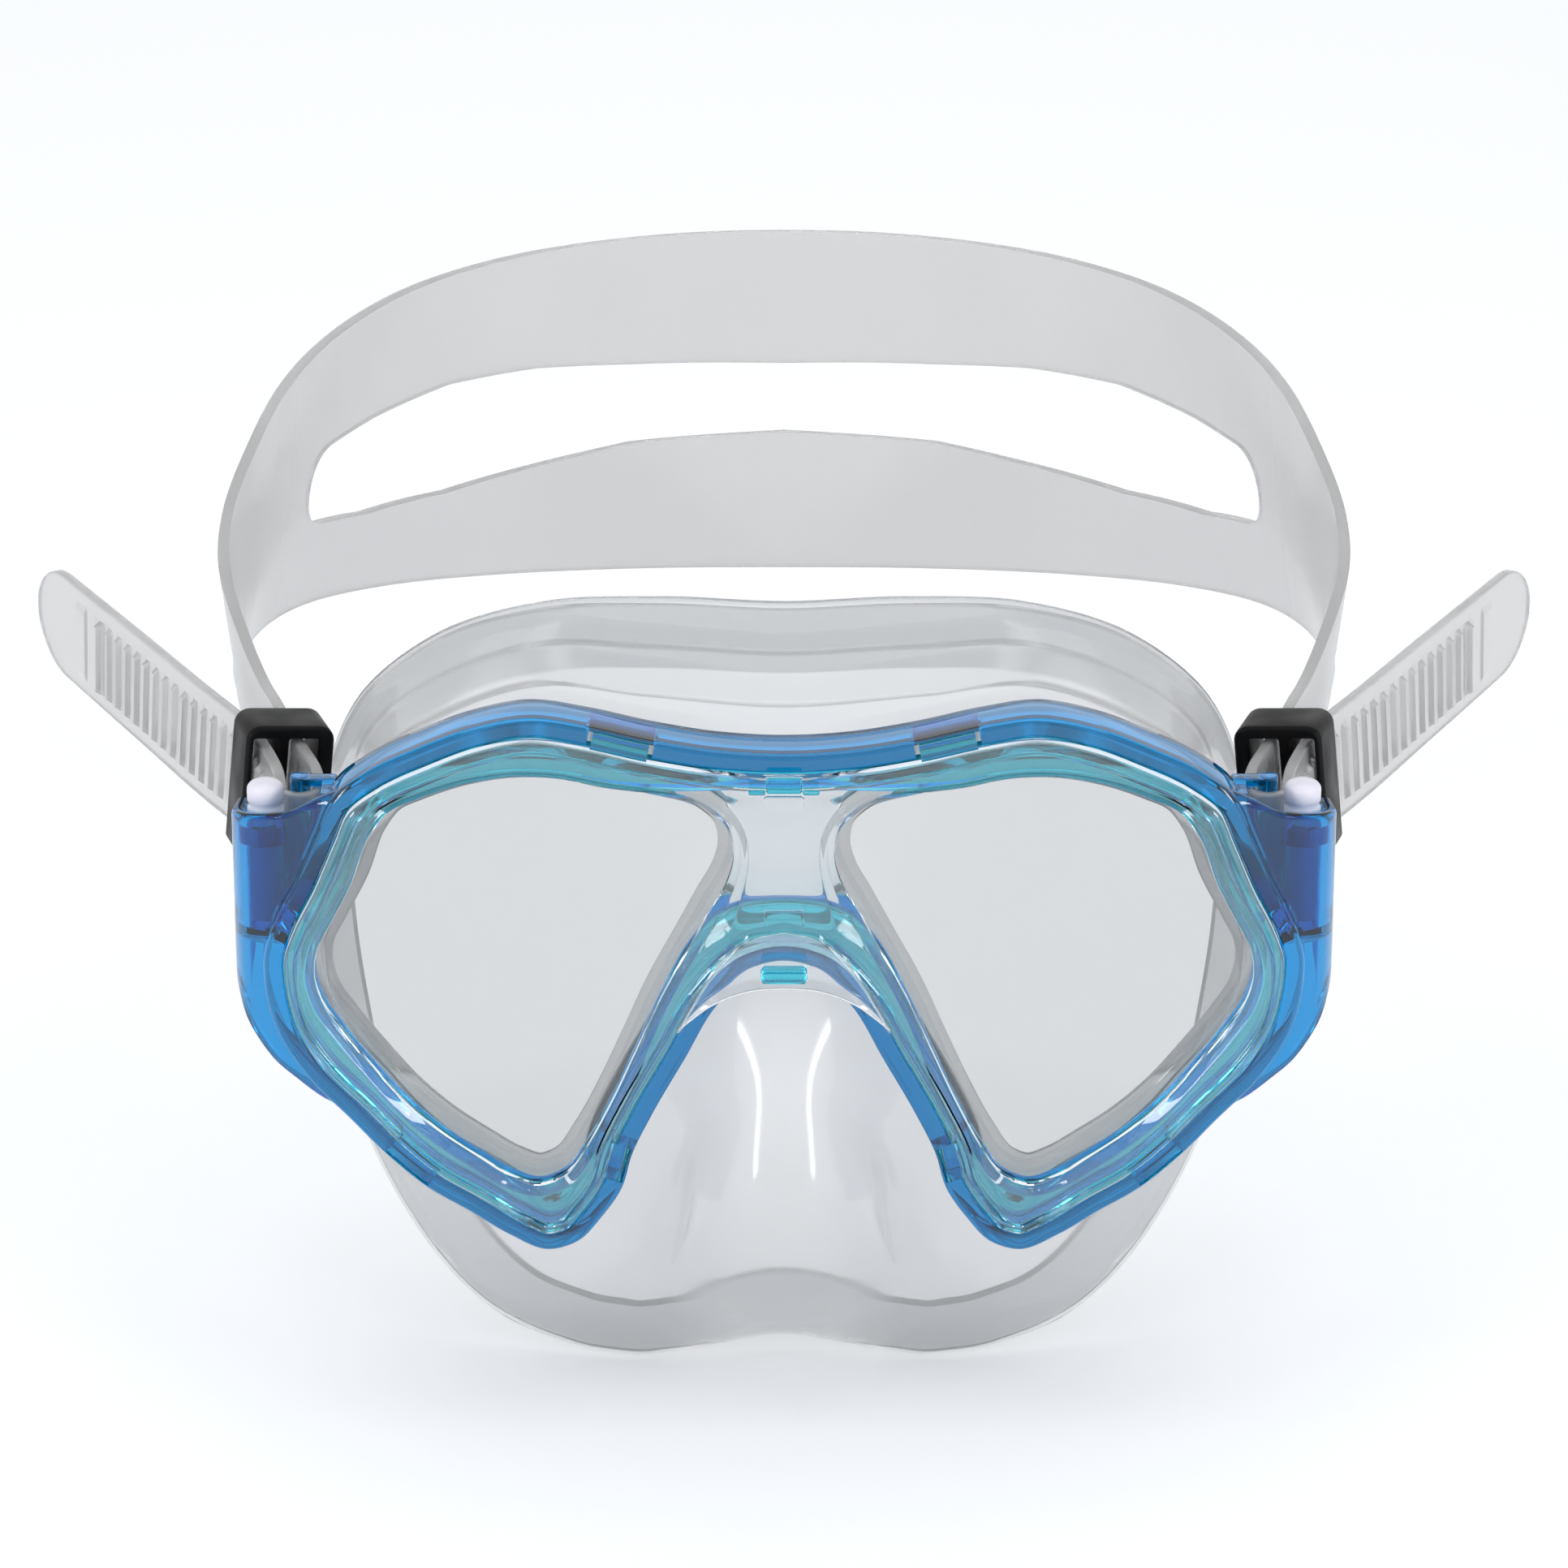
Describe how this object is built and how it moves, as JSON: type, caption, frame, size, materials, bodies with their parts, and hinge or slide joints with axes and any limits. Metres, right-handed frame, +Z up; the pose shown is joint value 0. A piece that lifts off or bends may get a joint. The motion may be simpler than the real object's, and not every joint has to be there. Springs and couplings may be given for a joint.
{
  "type": "diving mask",
  "caption": "Two-lens diving mask with tinted plastic frame, clear silicone skirt and nose pocket, and a split silicone head strap through side buckles and keepers.",
  "frame": {"origin": "middle of the face seal, on the mask's centre plane", "axes": "+X to the wearer's left, +Y to the back of the head, +Z up; the lenses face -Y"},
  "size_m": [0.2394, 0.1939, 0.1382],
  "materials": {
    "frame": "gloss translucent blue polycarbonate",
    "retainer": "gloss translucent aqua polycarbonate",
    "bezel": "gloss clear polycarbonate",
    "lens": "polished tempered glass",
    "silicone": "gloss clear silicone",
    "roller": "satin white acetal",
    "slider": "satin black nylon"
  },
  "bodies": {
    "mask": {"front_frame": "frame", "lens_retainer": "retainer", "clear_bezel": "bezel", "lens_left": "lens", "lens_right": "lens", "skirt": "silicone", "strap_end_left": "silicone", "strap_end_right": "silicone"},
    "roller_left": {"strap_roller_left": "roller"},
    "roller_right": {"strap_roller_right": "roller"},
    "slider_left": {"strap_slider_left": "slider"},
    "slider_right": {"strap_slider_right": "slider"},
    "head_strap": {"strap_band": "silicone"}
  },
  "joints": [
    {"name": "roller_left_turn", "type": "hinge", "parent": "mask", "child": "roller_left", "pos_m": [0.0772, -0.0389, 0.017], "axis": [0, 0, 1], "continuous": true},
    {"name": "roller_right_turn", "type": "hinge", "parent": "mask", "child": "roller_right", "pos_m": [-0.0772, -0.0389, 0.017], "axis": [0, 0, 1], "continuous": true},
    {"name": "slider_left_slide", "type": "slide", "parent": "mask", "child": "slider_left", "axis": [0.2924, 0.9563, 0], "range_m": [-0.0015, 0.002]},
    {"name": "slider_right_slide", "type": "slide", "parent": "mask", "child": "slider_right", "axis": [-0.2924, 0.9563, 0], "range_m": [-0.0015, 0.002]},
    {"name": "head_strap_lift", "type": "hinge", "parent": "mask", "child": "head_strap", "pos_m": [0, 0.004, 0.0198], "axis": [1, 0, 0], "range_deg": [-25, 25], "stiffness_Nm_per_rad": 0.6, "springref_deg": 2.58}
  ]
}
